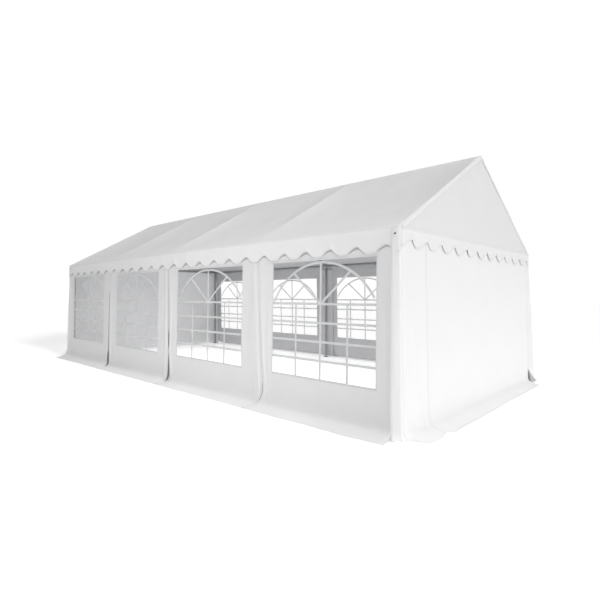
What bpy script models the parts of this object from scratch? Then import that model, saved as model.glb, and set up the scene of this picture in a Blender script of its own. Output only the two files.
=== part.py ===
# Marquee tent: a steel tube frame of four bays under a fabric cover, with window walls along both sides.
# Metres, +Z up. The origin is on the ground at the middle of the tent, the ridge runs along Y,
# and the front end wall faces -Y.

import math

import bmesh
import bpy
from mathutils import Matrix, Vector

# Driving dimensions
TENT_WIDTH = 4.0          # across the eaves, outside the cover
TENT_LENGTH = 8.0         # along the ridge, outside the cover
EAVES_HEIGHT = 2.0
RIDGE_HEIGHT = 3.1
BAYS = 4
FABRIC = 0.004            # the sheets are drawn thicker than the real 0.5 mm
SEAT = 0.0003             # gap that touching pieces keep

# Steel frame
TUBE_RADIUS = 0.019
SLEEVE_RADIUS = 0.0225    # connectors that the tubes push into: the sleeve that lies along the tent
BRANCH_RADIUS = 0.0215    # and the ones that branch off it
SLEEVE_LENGTH = 0.11
TUBE_SIDES = 12
SLEEVE_SIDES = 10
FOOT_SIZE = 0.10
FOOT_THICKNESS = 0.004
PEG_HOLE_RADIUS = 0.006
PEG_HOLE_OFFSET = 0.035
PEG_HOLE_SIDES = 8

# Roof cover and valances
SCALLOP_PITCH = 1 / 3
SCALLOP_DEPTH = 0.07
SCALLOP_STEPS = 4
SIDE_VALANCE_BOTTOM = 1.75
END_VALANCE_BOTTOM = 1.80
ROOF_SAG = 0.035          # of the cloth between two rafters
ROOF_SHARES = (0, 0.05, 0.25, 0.5, 0.75, 0.95, 1)   # rows of points up each slope, as shares of it

# Walls
WALL_TOP = 1.985
WALL_BOW_TOP = 1.75       # the wall hangs plumb down to here, then leans out a little
SKIRT_FOLD = 0.15         # the ground skirt starts here
SKIRT_SPREAD = 0.25       # how far the skirt's hem lies outside the wall
FOLD_LEAN = 0.12          # share of the spread that the wall has reached at the skirt's fold
SLIT_TOP = 0.80           # two neighbouring panels part from here down
SLIT_HALF_WIDTH = 0.035
HEM_EDGE = 0.14           # width of the strip beside a panel's edge
CORNER_LAP = 0.10         # end wall's edge, wrapped on to the side at one corner
SIDE_LAP = 0.07           # side wall's edge, wrapped on to the end at the other corner
CORNER_SPREAD = 0.05
END_SPREAD = 0.23
STRIP_EDGE_X = -1.48      # where the corner strip ends and the end wall begins

# Windows
WINDOW_MARGIN = 0.28
WINDOW_SILL = 0.437
WINDOW_TOP = 1.73

# Worked-out values
SLOPE = (RIDGE_HEIGHT - EAVES_HEIGHT) / (TENT_WIDTH / 2)
SLOPE_COS = 1 / math.hypot(1, SLOPE)
BAY = TENT_LENGTH / BAYS
COVER_X = TENT_WIDTH / 2
COVER_Y = TENT_LENGTH / 2
WALL_X = COVER_X - FABRIC - SEAT          # outer face of the side walls
WALL_Y = COVER_Y - FABRIC - SEAT          # outer face of the end walls
FRAME_X = WALL_X - FABRIC - SEAT - SLEEVE_RADIUS
END_FRAME_Y = WALL_Y - FABRIC - SEAT - SLEEVE_RADIUS
RIDGE_AXIS_Z = RIDGE_HEIGHT - (FABRIC + SEAT + SLEEVE_RADIUS) / SLOPE_COS
EAVES_AXIS_Z = RIDGE_AXIS_Z - SLOPE * FRAME_X
FRAME_YS = [-END_FRAME_Y] + [BAY * i - COVER_Y for i in range(1, BAYS)] + [END_FRAME_Y]


def material(name, colour, roughness, metallic=0.0, alpha=1.0):
    """A Principled BSDF with the finish of one kind of piece."""
    made = bpy.data.materials.new(name)
    made.use_nodes = True
    shader = made.node_tree.nodes["Principled BSDF"]
    shader.inputs["Base Color"].default_value = (*colour, 1.0)
    shader.inputs["Roughness"].default_value = roughness
    shader.inputs["Metallic"].default_value = metallic
    shader.inputs["Alpha"].default_value = alpha
    return made


def place(name, mesh, finish, location=(0, 0, 0), turn=0.0):
    """Puts a mesh in the scene as one named piece."""
    piece = bpy.data.objects.new(name, mesh)
    piece.location = location
    piece.rotation_euler.z = turn
    if not mesh.materials:
        mesh.materials.append(finish)
    bpy.context.scene.collection.objects.link(piece)
    return piece


def mesh_of(name, points, faces):
    """A mesh from points and faces, with every face turned outwards."""
    mesh = bpy.data.meshes.new(name)
    mesh.from_pydata([tuple(p) for p in points], [], faces)
    shape = bmesh.new()
    shape.from_mesh(mesh)
    bmesh.ops.recalc_face_normals(shape, faces=shape.faces)
    shape.to_mesh(mesh)
    shape.free()
    return mesh


def add_tube(shape, start, end, radius, sides):
    """Adds a closed round bar from start to end."""
    start, end = Vector(start), Vector(end)
    run = end - start
    turn = run.to_track_quat("Z", "Y").to_matrix().to_4x4()
    matrix = Matrix.Translation((start + end) / 2) @ turn
    bmesh.ops.create_cone(
        shape, cap_ends=True, segments=sides, radius1=radius, radius2=radius,
        depth=run.length, matrix=matrix)


def smooth(mesh):
    """Shades a round piece smooth, but for its sharp edges."""
    mesh.shade_smooth()
    mesh.set_sharp_from_angle(angle=math.radians(40))
    return mesh


def combined(name, body, others, operation="UNION"):
    """The body joined with, or cut by, the other meshes one after the other."""
    main = bpy.data.objects.new(name, body)
    bpy.context.scene.collection.objects.link(main)
    helpers = []
    for other in others:
        helper = bpy.data.objects.new(name + "_helper", other)
        bpy.context.scene.collection.objects.link(helper)
        step = main.modifiers.new("join", "BOOLEAN")
        step.operation = operation
        step.object = helper
        helpers.append(helper)
    graph = bpy.context.evaluated_depsgraph_get()
    result = bpy.data.meshes.new_from_object(main.evaluated_get(graph))
    for used in [main, *helpers]:
        bpy.data.objects.remove(used)
    result.name = name
    return result


def bar_mesh(start, end, radius, sides):
    """A single closed bar as a mesh of its own."""
    shape = bmesh.new()
    add_tube(shape, start, end, radius, sides)
    mesh = bpy.data.meshes.new("bar")
    shape.to_mesh(mesh)
    shape.free()
    return mesh


def box_mesh(low, high):
    """A closed box as a mesh of its own."""
    low, high = Vector(low), Vector(high)
    shape = bmesh.new()
    size = high - low
    matrix = Matrix.Translation((low + high) / 2) @ Matrix.Diagonal((*size, 1.0))
    bmesh.ops.create_cube(shape, size=1.0, matrix=matrix)
    mesh = bpy.data.meshes.new("box")
    shape.to_mesh(mesh)
    shape.free()
    return mesh


# Frame

def leg_mesh():
    """A leg on its foot plate, with the leg's axis on the mesh's Z axis and two peg holes in the plate."""
    half = FOOT_SIZE / 2
    plate = box_mesh((-half, -half, 0), (half, half, FOOT_THICKNESS))
    top = EAVES_AXIS_Z - SLEEVE_LENGTH - SEAT
    leg = bar_mesh((0, 0, FOOT_THICKNESS / 2), (0, 0, top), TUBE_RADIUS, TUBE_SIDES)
    holes = [
        bar_mesh((side * PEG_HOLE_OFFSET, side * PEG_HOLE_OFFSET, -FOOT_THICKNESS),
                 (side * PEG_HOLE_OFFSET, side * PEG_HOLE_OFFSET, 2 * FOOT_THICKNESS),
                 PEG_HOLE_RADIUS, PEG_HOLE_SIDES)
        for side in (-1, 1)
    ]
    standing = combined("leg", plate, [leg])
    return smooth(combined("leg", standing, holes, "DIFFERENCE"))


def rafter_direction(side):
    """Unit vector up the rafter on side -1 (left) or 1 (right)."""
    return Vector((-side, 0, SLOPE)).normalized()


def sleeve(centre, way, back):
    """One branching sleeve of a connector, from a little behind its centre; back is in its radii."""
    way = Vector(way).normalized()
    centre = Vector(centre)
    return bar_mesh(centre - way * back * BRANCH_RADIUS, centre + way * SLEEVE_LENGTH, BRANCH_RADIUS, SLEEVE_SIDES)


def sleeve_along(centre, index):
    """The sleeve of frame number index that holds the tubes along Y, open on one side at the end frames."""
    low = SLEEVE_LENGTH if index > 0 else SLEEVE_RADIUS / 2
    high = SLEEVE_LENGTH if index < BAYS else SLEEVE_RADIUS / 2
    x, y, z = centre
    return bar_mesh((x, y - low, z), (x, y + high, z), SLEEVE_RADIUS, SLEEVE_SIDES)


def eaves_rail_mesh(side):
    """The tubes along one eaves with the connectors that carry them, joined into one rail."""
    x = side * FRAME_X
    tube = bar_mesh((x, FRAME_YS[0], EAVES_AXIS_Z), (x, FRAME_YS[-1], EAVES_AXIS_Z), TUBE_RADIUS, TUBE_SIDES)
    parts = []
    for index, y in enumerate(FRAME_YS):
        centre = (x, y, EAVES_AXIS_Z)
        parts.append(sleeve_along(centre, index))
        parts.append(sleeve(centre, (0, 0, -1), 0.5))
        parts.append(sleeve(centre, rafter_direction(side), 0.5))
        if index in (0, BAYS):
            parts.append(sleeve(centre, (-side, 0, 0), 0.2))
    return smooth(combined("eaves_rail", tube, parts))


def rafters_mesh(index):
    """The two rafters of a frame, joined by the connector at the ridge."""
    y = FRAME_YS[index]
    head = Vector((0, y, RIDGE_AXIS_Z))
    bars = []
    for side in (-1, 1):
        up = rafter_direction(side)
        foot = Vector((side * FRAME_X, y, EAVES_AXIS_Z)) + up * (SLEEVE_LENGTH + SEAT)
        bars.append(bar_mesh(foot, head, TUBE_RADIUS, TUBE_SIDES))
    parts = [sleeve(head, -rafter_direction(side), 0.5) for side in (-1, 1)]
    parts.append(sleeve_along(head, index))
    return smooth(combined("rafters", bars[0], [bars[1], *parts]))


def build_frame(steel):
    leg = leg_mesh()
    inset = SLEEVE_LENGTH + SEAT
    for side, word in ((-1, "left"), (1, "right")):
        for index, y in enumerate(FRAME_YS):
            place(f"leg_{word}_{index + 1}", leg, steel, (side * FRAME_X, y, 0))
        place(f"eaves_rail_{word}", eaves_rail_mesh(side), steel)
    for index in range(BAYS + 1):
        place(f"rafters_{index + 1}", rafters_mesh(index), steel)
    for index in range(BAYS):
        start = (0, FRAME_YS[index] + inset, RIDGE_AXIS_Z)
        end = (0, FRAME_YS[index + 1] - inset, RIDGE_AXIS_Z)
        place(f"ridge_tube_{index + 1}", smooth(bar_mesh(start, end, TUBE_RADIUS, TUBE_SIDES)), steel)
    reach = FRAME_X - inset
    for y, word in ((-END_FRAME_Y, "front"), (END_FRAME_Y, "rear")):
        rail = bar_mesh((-reach, y, EAVES_AXIS_Z), (reach, y, EAVES_AXIS_Z), TUBE_RADIUS, TUBE_SIDES)
        place(f"end_rail_{word}", smooth(rail), steel)


# Roof cover

def scallop_height(along, bottom):
    """Height of a valance's hem at a distance along it: lobes hang lowest at each whole pitch."""
    phase = along / SCALLOP_PITCH
    share = 2 * abs(phase - round(phase))
    return bottom + SCALLOP_DEPTH * share ** 2


def scallop_run(start, end, bottom):
    """(distance, height) points of the hem between two distances, ends included."""
    count = round((end - start) / SCALLOP_PITCH * SCALLOP_STEPS)
    step = (end - start) / count
    return [(start + step * i, scallop_height(start + step * i, bottom)) for i in range(count + 1)]


def roof_sag(along, share_up):
    """How far the cloth hangs below the straight slope; it lies taut over the eaves, the ridge and the rafters."""
    if share_up <= ROOF_SHARES[1] or share_up >= ROOF_SHARES[-2]:
        return 0.0
    across_bay = (along / BAY) % 1
    return ROOF_SAG * 4 * across_bay * (1 - across_bay) * (4 * share_up * (1 - share_up)) ** 2


def roof_point(along, side, share_up, inside):
    """A point of the roof skin, along from the front, on the left (-1) or right (1) slope."""
    reach = COVER_X - (FABRIC if inside else 0)
    x = side * reach * (1 - share_up)
    z = RIDGE_HEIGHT - SLOPE * abs(x)
    if inside:
        z -= FABRIC / SLOPE_COS
    return Vector((x, along - COVER_Y, z - roof_sag(along, share_up)))


def roof_cover_mesh():
    """The cover: two sagging slopes and a scalloped valance along each side, in one sheet."""
    lines = round(TENT_LENGTH / SCALLOP_PITCH)
    rows = [(-1, share) for share in ROOF_SHARES] + [(1, share) for share in reversed(ROOF_SHARES[:-1])]
    last = len(rows) - 1
    points, faces = [], []

    def add(point):
        points.append(point)
        return len(points) - 1

    skins = []
    for inside in (False, True):
        grid = [[add(roof_point(i * SCALLOP_PITCH, *row, inside)) for row in rows] for i in range(lines + 1)]
        for i in range(lines):
            for j in range(last):
                faces.append((grid[i][j], grid[i + 1][j], grid[i + 1][j + 1], grid[i][j + 1]))
        hems = {}
        for side, edge in ((-1, 0), (1, last)):
            x = side * (COVER_X - (FABRIC if inside else 0))
            hem = [
                add(Vector((x, along - COVER_Y, z)))
                for along, z in scallop_run(0, TENT_LENGTH, SIDE_VALANCE_BOTTOM)
            ]
            for i in range(lines):
                stretch = hem[i * SCALLOP_STEPS:(i + 1) * SCALLOP_STEPS + 1]
                faces.append((grid[i][edge], *stretch, grid[i + 1][edge]))
            hems[side] = hem
        skins.append((grid, hems))

    (outer, outer_hems), (inner, inner_hems) = skins
    rims = [(outer_hems[side], inner_hems[side]) for side in (-1, 1)]
    for i, end in ((0, 0), (lines, -1)):
        rims.append(([outer_hems[-1][end], *outer[i], outer_hems[1][end]],
                     [inner_hems[-1][end], *inner[i], inner_hems[1][end]]))
    for near, far in rims:
        for a in range(len(near) - 1):
            faces.append((near[a], near[a + 1], far[a + 1], far[a]))
    return mesh_of("roof_cover", points, faces)


def gable_mesh():
    """The triangle that closes the roof's front end, with its scalloped valance."""
    reach = COVER_X - FABRIC - SEAT
    under_cover = (FABRIC + 2 * SEAT) / SLOPE_COS
    hem = scallop_run(COVER_X - reach, COVER_X + reach, END_VALANCE_BOTTOM)
    outline = [(along - COVER_X, z) for along, z in hem]
    outline += [
        (reach, RIDGE_HEIGHT - SLOPE * reach - under_cover),
        (0, RIDGE_HEIGHT - under_cover),
        (-reach, RIDGE_HEIGHT - SLOPE * reach - under_cover),
    ]
    count = len(outline)
    points = [Vector((x, y, z)) for y in (-COVER_Y, -COVER_Y + FABRIC) for x, z in outline]
    faces = [tuple(range(count)), tuple(range(count, 2 * count))]
    faces += [(i, (i + 1) % count, count + (i + 1) % count, count + i) for i in range(count)]
    return mesh_of("gable", points, faces)


# Walls

def lean(z):
    """Share of a column's spread that it has reached at height z."""
    if z >= WALL_BOW_TOP:
        return 0.0
    if z >= SKIRT_FOLD:
        return FOLD_LEAN * (WALL_BOW_TOP - z) / (WALL_BOW_TOP - SKIRT_FOLD)
    return FOLD_LEAN + (1 - FOLD_LEAN) * (SKIRT_FOLD - z) / SKIRT_FOLD


def column(plan, outward, spread, slit=(0, 0)):
    """One upright line of a wall: where its outer face is in plan, which way it faces, how far its hem lies out,
    and how far its foot is drawn aside."""
    return {"plan": Vector(plan), "outward": Vector(outward), "spread": Vector(spread), "slit": Vector(slit)}


def column_point(line, z, inside):
    """The outer or inner point of a wall column at height z."""
    plan = line["plan"] + line["spread"] * lean(z) + line["slit"] * max(0.0, (SLIT_TOP - z) / SLIT_TOP)
    if inside:
        plan = plan - line["outward"] * FABRIC
    return Vector((plan.x, plan.y, z))


def sheet_mesh(name, columns, heights, window=False):
    """A hanging sheet: a grid of faces outside and inside, closed round its edges.
    A window is cut between columns 2 and 3, from the sill's row up to the window top's row."""
    wide, tall = len(columns) - 1, len(heights) - 1
    cells = {(i, j) for i in range(wide) for j in range(tall)}
    if window:
        cells -= {(2, j) for j in range(heights.index(WINDOW_TOP), heights.index(WINDOW_SILL))}

    points, faces, corners = [], [], {}
    for inside in (False, True):
        for i, line in enumerate(columns):
            for j, z in enumerate(heights):
                if {(i, j), (i - 1, j), (i, j - 1), (i - 1, j - 1)} & cells:
                    corners[i, j, inside] = len(points)
                    points.append(column_point(line, z, inside))

    for i, j in sorted(cells):
        for inside in (False, True):
            faces.append((corners[i, j, inside], corners[i + 1, j, inside],
                          corners[i + 1, j + 1, inside], corners[i, j + 1, inside]))
        sides = (
            ((i, j), (i + 1, j), (i, j - 1)),
            ((i, j + 1), (i + 1, j + 1), (i, j + 1)),
            ((i, j), (i, j + 1), (i - 1, j)),
            ((i + 1, j), (i + 1, j + 1), (i + 1, j)),
        )
        for a, b, beyond in sides:
            if beyond not in cells:
                faces.append((corners[*a, False], corners[*b, False], corners[*b, True], corners[*a, True]))
    return mesh_of(name, points, faces)


WALL_HEIGHTS = [WALL_TOP, WALL_BOW_TOP, WINDOW_TOP, SLIT_TOP, WINDOW_SILL, SKIRT_FOLD, 0.0]
PLAIN_HEIGHTS = [WALL_TOP, WALL_BOW_TOP, SKIRT_FOLD, 0.0]


def side_column(along, spread=SKIRT_SPREAD, slit=0.0):
    """A column of the left wall at a distance along from the tent's front."""
    return column((-WALL_X, along - COVER_Y), (-1, 0), (-spread, 0), (0, slit))


def left_wall_columns(bay):
    """The columns of a left wall panel; bay 0 is at the front."""
    start, end = bay * BAY, (bay + 1) * BAY
    middle = [side_column(start + WINDOW_MARGIN), side_column(end - WINDOW_MARGIN)]
    if bay == 0:
        lap = COVER_Y - WALL_Y + CORNER_LAP + SEAT
        first = [side_column(lap, 0.8 * SKIRT_SPREAD), side_column(lap + HEM_EDGE / 2)]
    else:
        first = [side_column(start + SEAT / 2, slit=SLIT_HALF_WIDTH), side_column(start + HEM_EDGE)]
    if bay == BAYS - 1:
        last = [
            side_column(end - HEM_EDGE),
            column((-WALL_X, WALL_Y), (-1, 1), (-SKIRT_SPREAD, CORNER_SPREAD)),
            column((-WALL_X + SIDE_LAP, WALL_Y), (0, 1), (0, CORNER_SPREAD)),
        ]
    else:
        last = [side_column(end - HEM_EDGE), side_column(end - SEAT / 2, slit=-SLIT_HALF_WIDTH)]
    return first + middle + last


def left_window_mesh(bay):
    """The clear film that fills a left wall panel's window."""
    start, end = bay * BAY + WINDOW_MARGIN + SEAT, (bay + 1) * BAY - WINDOW_MARGIN - SEAT
    return sheet_mesh("window", [side_column(start), side_column(end)], [WINDOW_TOP - SEAT, WINDOW_SILL + SEAT])


def front_column(x, spread=END_SPREAD, aside=0.0):
    """A column of the front wall at x; aside is how far its hem lies to the right."""
    return column((x, -WALL_Y), (0, -1), (aside, -spread))


def corner_strip_columns():
    """The strip at the front wall's left, which laps round the corner on to the side."""
    return [
        column((-WALL_X, -WALL_Y + CORNER_LAP), (-1, 0), (-CORNER_SPREAD, 0)),
        column((-WALL_X, -WALL_Y), (-1, -1), (-CORNER_SPREAD, -CORNER_SPREAD)),
        front_column(-WALL_X + HEM_EDGE),
        front_column(STRIP_EDGE_X - SEAT / 2, END_SPREAD - 0.05, 0.03),
    ]


def end_wall_columns():
    """The front wall from the corner strip to the side wall's lap at the right corner."""
    edge = WALL_X - SIDE_LAP - SEAT
    return [
        front_column(STRIP_EDGE_X + SEAT / 2, END_SPREAD + 0.03, 0.10),
        front_column(STRIP_EDGE_X + HEM_EDGE, END_SPREAD + 0.02, 0.03),
        front_column(0),
        front_column(edge - HEM_EDGE, END_SPREAD - 0.02),
        front_column(edge, END_SPREAD - 0.02, -HEM_EDGE),
    ]


def build_cover(cloth, film):
    half_turn = math.pi
    place("roof_cover", roof_cover_mesh(), cloth)
    gable = gable_mesh()
    place("gable_front", gable, cloth)
    place("gable_rear", gable, cloth, turn=half_turn)
    for bay in range(BAYS):
        panel = sheet_mesh("side_wall", left_wall_columns(bay), WALL_HEIGHTS, window=True)
        window = left_window_mesh(bay)
        place(f"wall_left_{bay + 1}", panel, cloth)
        place(f"wall_right_{BAYS - bay}", panel, cloth, turn=half_turn)
        place(f"window_left_{bay + 1}", window, film)
        place(f"window_right_{BAYS - bay}", window, film, turn=half_turn)
    end_pieces = {"corner_strip": corner_strip_columns(), "end_wall": end_wall_columns()}
    for kind, columns in end_pieces.items():
        sheet = sheet_mesh(kind, columns, PLAIN_HEIGHTS)
        place(f"{kind}_front", sheet, cloth)
        place(f"{kind}_rear", sheet, cloth, turn=half_turn)


def main():
    for old in list(bpy.data.objects):
        bpy.data.objects.remove(old)
    steel = material("galvanised_steel", (0.55, 0.56, 0.57), 0.45, 0.9)
    cloth = material("coated_fabric", (0.86, 0.86, 0.86), 0.55)
    film = material("clear_film", (0.95, 0.96, 0.96), 0.08, alpha=0.25)
    build_frame(steel)
    build_cover(cloth, film)


main()
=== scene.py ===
import math

import bpy
import numpy as np
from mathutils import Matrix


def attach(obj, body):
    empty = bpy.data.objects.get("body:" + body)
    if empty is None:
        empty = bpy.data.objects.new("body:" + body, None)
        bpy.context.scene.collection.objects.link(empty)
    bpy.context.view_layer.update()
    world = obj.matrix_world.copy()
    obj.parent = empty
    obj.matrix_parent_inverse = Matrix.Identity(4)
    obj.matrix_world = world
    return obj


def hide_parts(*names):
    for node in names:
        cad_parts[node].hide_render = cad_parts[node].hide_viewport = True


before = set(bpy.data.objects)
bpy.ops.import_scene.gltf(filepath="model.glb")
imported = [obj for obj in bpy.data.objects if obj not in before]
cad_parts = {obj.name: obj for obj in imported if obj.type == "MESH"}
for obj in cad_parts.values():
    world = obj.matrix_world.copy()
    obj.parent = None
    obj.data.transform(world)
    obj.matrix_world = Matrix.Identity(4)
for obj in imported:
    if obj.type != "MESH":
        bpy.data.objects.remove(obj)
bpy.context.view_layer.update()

# The tent's own sizes in metres. The ridge runs along Y and the front end faces -Y.
tent = {
    "halfWidth": 2.0,
    "halfLength": 4.0,
    "eaves": 2.0,
    "ridge": 3.1,
    "bays": 4,
    "wallX": 1.9957,        # outer face of the side walls
    "wallY": 3.9957,        # outer face of the end walls
    "eavesAxis": 1.9865,
    "clothThickness": 0.0014,
    "seam": 0.00015,        # half the gap between two sheets
}
bayLength = 2 * tent["halfLength"] / tent["bays"]
slope = (tent["ridge"] - tent["eaves"]) / tent["halfWidth"]
slopeLength = math.hypot(tent["halfWidth"], tent["ridge"] - tent["eaves"])
wholeLength = 2 * tent["halfLength"]
rearCorner = tent["halfLength"] + tent["wallY"]    # where a side turns on to the rear end


# Small tools

def deselectAll():
    bpy.ops.object.select_all(action="DESELECT")


def makeActive(piece):
    deselectAll()
    piece.select_set(True)
    bpy.context.view_layer.objects.active = piece


def newObject(name, data):
    made = bpy.data.objects.new(name, data)
    bpy.context.scene.collection.objects.link(made)
    return made


def fromHex(code):
    values = [int(code[i:i + 2], 16) / 255 for i in (1, 3, 5)]
    linear = [v / 12.92 if v <= 0.04045 else ((v + 0.055) / 1.055) ** 2.4 for v in values]
    return (*linear, 1.0)


def addNode(tree, kind, settings=None, links=None):
    # a link starts at an output, or at a node's first output
    node = tree.nodes.new("ShaderNode" + kind)
    for key, value in (settings or {}).items():
        if isinstance(key, int) or key in node.inputs:
            node.inputs[key].default_value = value
        else:
            setattr(node, key, value)
    for key, source in (links or {}).items():
        tree.links.new(getattr(source, "outputs", (source,))[0], node.inputs[key])
    return node


def softNoise(u, v, size, seed):
    # smooth heights from -1 to 1, the same each run; size is the width of one hump
    lattice = np.random.default_rng(seed).uniform(-1, 1, (97, 97))
    a, b = np.asarray(u) / size + 41.3, np.asarray(v) / size + 43.7
    i, j = np.floor(a).astype(int), np.floor(b).astype(int)
    s, t = a - i, b - j
    s, t = s ** 3 * (6 * s * s - 15 * s + 10), t ** 3 * (6 * t * t - 15 * t + 10)
    low = lattice[i % 97, j % 97] * (1 - s) + lattice[(i + 1) % 97, j % 97] * s
    high = lattice[i % 97, (j + 1) % 97] * (1 - s) + lattice[(i + 1) % 97, (j + 1) % 97] * s
    return low * (1 - t) + high * t


def hump(distance, width):
    return np.exp(-(distance / width) ** 2)


def unit(value):
    return np.clip(value, 0, 1)


def stacked(*values):
    return np.stack(np.broadcast_arrays(*values), axis=-1)


def asGrids(*values):
    return np.broadcast_arrays(*(np.asarray(value, float) for value in values))


def nearestJoint(along):
    # number of the nearest joint between two bays, and the distance past it
    number = np.round(along / bayLength)
    return number, along - number * bayLength


def steps(marks, size):
    # values from the first mark to the last, with every mark among them and at most size between two
    values = [marks[0]]
    for a, b in zip(marks, marks[1:]):
        count = max(1, math.ceil(abs(b - a) / size - 1e-6))
        values += [a + (b - a) * (k + 1) / count for k in range(count)]
    return np.array(values)


def stepsBySize(*parts):
    # each part has steps of its own size and starts where the last one ends
    runs = [steps(*part) for part in parts]
    return np.concatenate([runs[0]] + [run[1:] for run in runs[1:]])


def crossed(columns, rows):
    return np.meshgrid(columns, rows, indexing="ij")


# Materials

def newMaterial(name):
    material = bpy.data.materials.new(name)
    material.use_nodes = True
    material.node_tree.nodes.clear()
    return material, material.node_tree


clothLook = {
    "thread": 0.0045,      # three times as coarse as the scrim under the real coating, to show
    "creaseSize": 0.16,    # creases from folding and packing
    "dimpleSize": 0.035,
    "cloudScale": 2.1,     # slow changes of tone
}


def clothMaterial(name, light, dark, roughness, weaveHeight, creaseHeight):
    # calendered PVC-coated polyester tarpaulin: a soft even sheen, a faint grid of threads, shallow creases
    material, tree = newMaterial(name)
    uv = {"Vector": addNode(tree, "UVMap", {"uv_map": "cloth"})}
    threads = [addNode(tree, "TexWave", {
        "wave_type": "BANDS", "bands_direction": axis, "wave_profile": "SIN",
        "Scale": 0.314 / clothLook["thread"], "Distortion": 0.4, "Detail": 1.0, "Detail Scale": 0.6,
    }, uv).outputs["Fac"] for axis in ("X", "Y")]
    weave = addNode(tree, "Math", {"operation": "MAXIMUM"}, {0: threads[0], 1: threads[1]})
    crease = addNode(tree, "TexNoise", {
        "Scale": 1 / clothLook["creaseSize"], "Detail": 3.0, "Roughness": 0.5, "Distortion": 0.3,
    }, uv)
    dimple = addNode(tree, "TexNoise", {"Scale": 1 / clothLook["dimpleSize"], "Detail": 2.0}, uv)
    cloud = addNode(tree, "TexNoise", {
        "Scale": clothLook["cloudScale"], "Detail": 4.0, "Roughness": 0.55,
    }, uv)
    relief = addNode(tree, "Bump", {"Strength": 0.6, "Distance": creaseHeight}, {"Height": crease})
    relief = addNode(tree, "Bump", {"Strength": 0.5, "Distance": creaseHeight * 0.12},
                     {"Height": dimple, "Normal": relief})
    relief = addNode(tree, "Bump", {"Strength": 0.5, "Distance": weaveHeight},
                     {"Height": weave, "Normal": relief})
    tint = addNode(tree, "Mix", {"data_type": "RGBA", 6: fromHex(light), 7: fromHex(dark)},
                   {"Factor": cloud})
    rough = addNode(tree, "MapRange", {"To Min": roughness - 0.05, "To Max": roughness + 0.07},
                    {"Value": dimple})
    shader = addNode(tree, "BsdfPrincipled", {"IOR": 1.5, "Specular IOR Level": 0.35},
                     {"Base Color": tint.outputs[2], "Roughness": rough, "Normal": relief})
    addNode(tree, "OutputMaterial", links={"Surface": shader})
    return material


def filmMaterial():
    # clear PVC film: nearly invisible face on, with a soft gloss and a little haze
    material, tree = newMaterial("clear_pvc_film")
    uv = addNode(tree, "UVMap", {"uv_map": "cloth"})
    wobble = addNode(tree, "TexNoise", {"Scale": 5.0, "Detail": 1.0}, {"Vector": uv})
    relief = addNode(tree, "Bump", {"Strength": 0.25, "Distance": 0.004}, {"Height": wobble})
    haze = addNode(tree, "MapRange", {"To Min": 0.008, "To Max": 0.022}, {"Value": wobble})
    shader = addNode(tree, "BsdfPrincipled", {
        "Base Color": fromHex("#fbfcfc"), "Roughness": 0.12, "IOR": 1.53,
    }, {"Normal": relief, "Alpha": haze})
    addNode(tree, "OutputMaterial", links={"Surface": shader})
    return material


# across and along a tape: half of what repeats in metres, and how much of that is thread
stitchLook = {"Y": (0.007, 0.0011), "X": (0.004, 0.0029)}


def tapeMaterial(name, colour, stitched):
    # welded or sewn PVC tape: smoother than the cloth, with rows of lockstitch where it is sewn
    material, tree = newMaterial(name)
    uv = addNode(tree, "UVMap", {"uv_map": "cloth"})
    shown = addNode(tree, "TexNoise", {"Scale": 300.0, "Detail": 2.0}, {"Vector": uv})
    relief = addNode(tree, "Bump", {"Strength": 0.3, "Distance": 0.0004}, {"Height": shown})
    strength = 0.12
    if stitched:
        place = addNode(tree, "SeparateXYZ", links={"Vector": uv}).outputs
        dashes = {}
        for number, (axis, (half, thread)) in enumerate(stitchLook.items()):
            folded = addNode(tree, "Math", {"operation": "PINGPONG", 1: half}, {0: place[axis]})
            dashes[number] = addNode(tree, "Math", {"operation": "LESS_THAN", 1: thread}, {0: folded})
        shown = addNode(tree, "Math", {"operation": "MULTIPLY"}, dashes)
        relief = addNode(tree, "Bump", {"Strength": 0.8, "Distance": 0.0006},
                         {"Height": shown, "Normal": relief})
        strength = 0.35
    share = addNode(tree, "Math", {"operation": "MULTIPLY", 1: strength}, {0: shown})
    tint = addNode(tree, "Mix", {"data_type": "RGBA", 6: fromHex(colour), 7: fromHex("#9c9d9e")},
                   {"Factor": share})
    shader = addNode(tree, "BsdfPrincipled", {"Roughness": 0.5, "IOR": 1.5},
                     {"Base Color": tint.outputs[2], "Normal": relief})
    addNode(tree, "OutputMaterial", links={"Surface": shader})
    return material


def steelMaterial():
    # hot-dip galvanised steel tube: grey zinc with a spangle of soft flakes, dull with brighter grains
    material, tree = newMaterial("galvanised_steel_tube")
    place = {"Vector": addNode(tree, "TexCoord").outputs["Object"]}
    spangle = addNode(tree, "TexVoronoi", {"Scale": 1 / 0.012, "Randomness": 1.0}, place).outputs
    cloud = addNode(tree, "TexNoise", {"Scale": 14.0, "Detail": 4.0}, place)
    grey = addNode(tree, "SeparateColor", links={"Color": spangle["Color"]})
    mixed = addNode(tree, "Math", {"operation": "MULTIPLY_ADD", 1: 0.6}, {0: grey, 2: cloud})
    share = addNode(tree, "Math", {"operation": "MULTIPLY", 1: 0.62}, {0: mixed})
    tint = addNode(tree, "Mix", {"data_type": "RGBA", 6: fromHex("#8a8e91"), 7: fromHex("#b3b6b8")},
                   {"Factor": share})
    rough = addNode(tree, "MapRange", {"To Min": 0.36, "To Max": 0.56}, {"Value": grey})
    relief = addNode(tree, "Bump", {"Strength": 0.25, "Distance": 0.0004}, {"Height": spangle["Distance"]})
    shader = addNode(tree, "BsdfPrincipled", {"Metallic": 0.7},
                     {"Base Color": tint.outputs[2], "Roughness": rough, "Normal": relief})
    addNode(tree, "OutputMaterial", links={"Surface": shader})
    return material


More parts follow.
